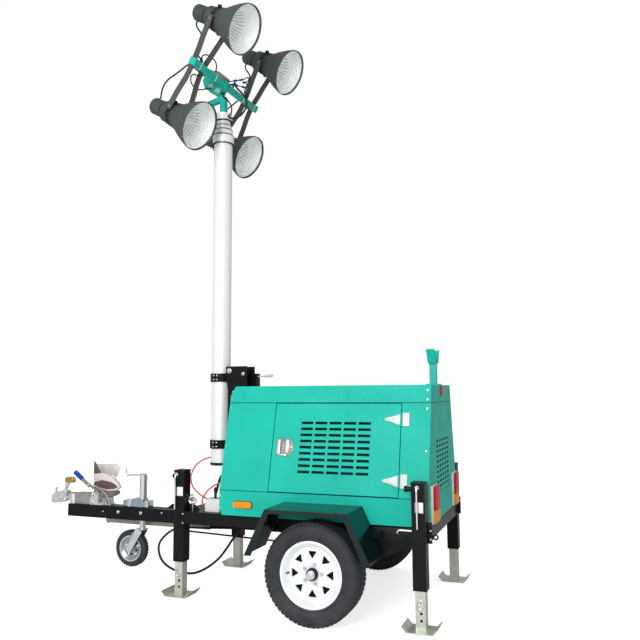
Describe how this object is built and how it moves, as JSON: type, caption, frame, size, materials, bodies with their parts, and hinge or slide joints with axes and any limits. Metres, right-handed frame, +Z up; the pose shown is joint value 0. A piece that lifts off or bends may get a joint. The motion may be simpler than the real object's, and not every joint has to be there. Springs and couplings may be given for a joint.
{
  "type": "mobile light tower",
  "caption": "Single-axle trailer with a louvred generator canopy, a folding telescopic mast, round floodlights on a cross bar, sliding support legs and a jockey wheel.",
  "frame": {"origin": "centre of the bounding box's base, on the ground", "axes": "-X is the towing direction, +X the rear, +Y the trailer's right side, +Z up"},
  "size_m": [3.27, 1.59, 4.2543],
  "materials": {
    "green_paint": "semi-gloss paint, slightly orange-peeled",
    "black_frame": "satin black paint",
    "bare_steel": "dull galvanised",
    "zinc": "bright zinc plate",
    "mast_aluminium": "satin anodised",
    "lamp_grey": "dark grey satin",
    "glass": "clear, smooth",
    "white_rim": "gloss white",
    "tyre": "matt black rubber",
    "red_lens": "clear red and amber",
    "white_plastic": "matt white",
    "red_hose": "smooth red tubing",
    "black_cable": "matt black sheath"
  },
  "bodies": {
    "trailer": {"chassis_frame": "black_frame", "drawbar": "black_frame", "axle_beam": "black_frame", "fender_left": "black_frame", "fender_right": "black_frame", "leg_outer_front_left": "black_frame", "leg_outer_front_right": "black_frame", "leg_outer_rear_left": "black_frame", "leg_outer_rear_right": "black_frame", "canopy_left": "green_paint", "canopy_right": "green_paint", "canopy_front": "green_paint", "canopy_rear": "green_paint", "canopy_roof": "green_paint", "genset_block": "black_frame", "mast_support": "black_frame", "mast_cradle": "green_paint", "compressor": "white_plastic", "tail_light_left": "red_lens", "tail_light_right": "red_lens", "coupling": "zinc", "wheel_chock": "zinc", "jockey_clamp": "zinc", "air_hose": "red_hose", "supply_hose": "red_hose", "mast_cable": "black_cable", "brake_lead": "black_cable"},
    "wheel_left": {"wheel_rim_left": "white_rim", "tyre_left": "tyre"},
    "wheel_right": {"wheel_rim_right": "white_rim", "tyre_right": "tyre"},
    "leg_front_left": {"leg_inner_front_left": "bare_steel"},
    "leg_front_right": {"leg_inner_front_right": "bare_steel"},
    "leg_rear_left": {"leg_inner_rear_left": "bare_steel"},
    "leg_rear_right": {"leg_inner_rear_right": "bare_steel"},
    "jockey": {"jockey_post": "zinc"},
    "jockey_roller": {"jockey_wheel": "tyre"},
    "door_left": {"door_left": "green_paint"},
    "door_right": {"door_right": "green_paint"},
    "brake_lever": {"brake_lever": "zinc"},
    "mast_base": {"mast_1": "mast_aluminium", "mast_bracket": "black_frame"},
    "mast_second": {"mast_2": "mast_aluminium"},
    "mast_third": {"mast_3": "mast_aluminium"},
    "mast_fourth": {"mast_4": "mast_aluminium", "mast_head": "green_paint"},
    "lamp_bar": {"lamp_bar": "green_paint", "yoke_left": "lamp_grey", "yoke_right": "lamp_grey", "lamp_lead_upper_left": "black_cable", "lamp_lead_upper_right": "black_cable", "lamp_lead_lower_left": "black_cable"},
    "lamp_upper_left": {"lamp_upper_left": "lamp_grey", "lens_upper_left": "glass"},
    "lamp_upper_right": {"lamp_upper_right": "lamp_grey", "lens_upper_right": "glass"},
    "lamp_lower_left": {"lamp_lower_left": "lamp_grey", "lens_lower_left": "glass"},
    "lamp_lower_right": {"lamp_lower_right": "lamp_grey", "lens_lower_right": "glass"}
  },
  "joints": [
    {"name": "wheel_left_spin", "type": "hinge", "parent": "trailer", "child": "wheel_left", "pos_m": [0.92, -0.683, 0.3], "axis": [0, 1, 0], "continuous": true},
    {"name": "wheel_right_spin", "type": "hinge", "parent": "trailer", "child": "wheel_right", "pos_m": [0.92, 0.683, 0.3], "axis": [0, 1, 0], "continuous": true},
    {"name": "leg_front_left_slide", "type": "slide", "parent": "trailer", "child": "leg_front_left", "axis": [0, 0, 1], "range_m": [0, 0.17]},
    {"name": "leg_front_right_slide", "type": "slide", "parent": "trailer", "child": "leg_front_right", "axis": [0, 0, 1], "range_m": [0, 0.17]},
    {"name": "leg_rear_left_slide", "type": "slide", "parent": "trailer", "child": "leg_rear_left", "axis": [0, 0, 1], "range_m": [0, 0.17]},
    {"name": "leg_rear_right_slide", "type": "slide", "parent": "trailer", "child": "leg_rear_right", "axis": [0, 0, 1], "range_m": [0, 0.17]},
    {"name": "jockey_slide", "type": "slide", "parent": "trailer", "child": "jockey", "axis": [0, 0, 1], "range_m": [-0.028, 0.055]},
    {"name": "jockey_roller_spin", "type": "hinge", "parent": "jockey", "child": "jockey_roller", "pos_m": [-0.863, 0, 0.17], "axis": [0, 1, 0], "continuous": true},
    {"name": "door_left_hinge", "type": "hinge", "parent": "trailer", "child": "door_left", "pos_m": [1.388, -0.5044, 0.722], "axis": [0, 0.2449, 0.9695], "range_deg": [0, 100]},
    {"name": "door_right_hinge", "type": "hinge", "parent": "trailer", "child": "door_right", "pos_m": [1.388, 0.5044, 0.722], "axis": [0, 0.2449, -0.9695], "range_deg": [0, 100]},
    {"name": "brake_lever_hinge", "type": "hinge", "parent": "trailer", "child": "brake_lever", "pos_m": [-1.14, -0.053, 0.52], "axis": [0, 1, 0], "range_deg": [0, 45]},
    {"name": "mast_tilt", "type": "hinge", "parent": "trailer", "child": "mast_base", "pos_m": [0.015, 0, 1.524], "axis": [0, 1, 0], "range_deg": [0, 90]},
    {"name": "mast_second_slide", "type": "slide", "parent": "mast_base", "child": "mast_second", "axis": [0, 0, 1], "range_m": [0, 1.8]},
    {"name": "mast_third_slide", "type": "slide", "parent": "mast_second", "child": "mast_third", "axis": [0, 0, 1], "range_m": [0, 1.8]},
    {"name": "mast_fourth_slide", "type": "slide", "parent": "mast_third", "child": "mast_fourth", "axis": [0, 0, 1], "range_m": [0, 1.8]},
    {"name": "lamp_bar_tilt", "type": "hinge", "parent": "mast_fourth", "child": "lamp_bar", "pos_m": [-0.13495, 0.00209, 3.737], "axis": [0.0523, 0.9986, 0], "range_deg": [-25, 25]},
    {"name": "lamp_upper_left_tilt", "type": "hinge", "parent": "lamp_bar", "child": "lamp_upper_left", "pos_m": [0.02846, -0.37347, 4.11939], "axis": [0.0523, 0.9986, 0], "range_deg": [0, 20]},
    {"name": "lamp_upper_right_tilt", "type": "hinge", "parent": "lamp_bar", "child": "lamp_upper_right", "pos_m": [0.06683, 0.35852, 4.11939], "axis": [0.0523, 0.9986, 0], "range_deg": [0, 20]},
    {"name": "lamp_lower_left_tilt", "type": "hinge", "parent": "lamp_bar", "child": "lamp_lower_left", "pos_m": [-0.34696, -0.3538, 3.45762], "axis": [0.0523, 0.9986, 0], "range_deg": [-20, 0]},
    {"name": "lamp_lower_right_tilt", "type": "hinge", "parent": "lamp_bar", "child": "lamp_lower_right", "pos_m": [-0.3086, 0.3782, 3.45762], "axis": [0.0523, 0.9986, 0], "range_deg": [-20, 0]}
  ],
  "couplings": [
    {"joint": "mast_third_slide", "follows": "mast_second_slide", "ratio": 1},
    {"joint": "mast_fourth_slide", "follows": "mast_second_slide", "ratio": 1}
  ]
}
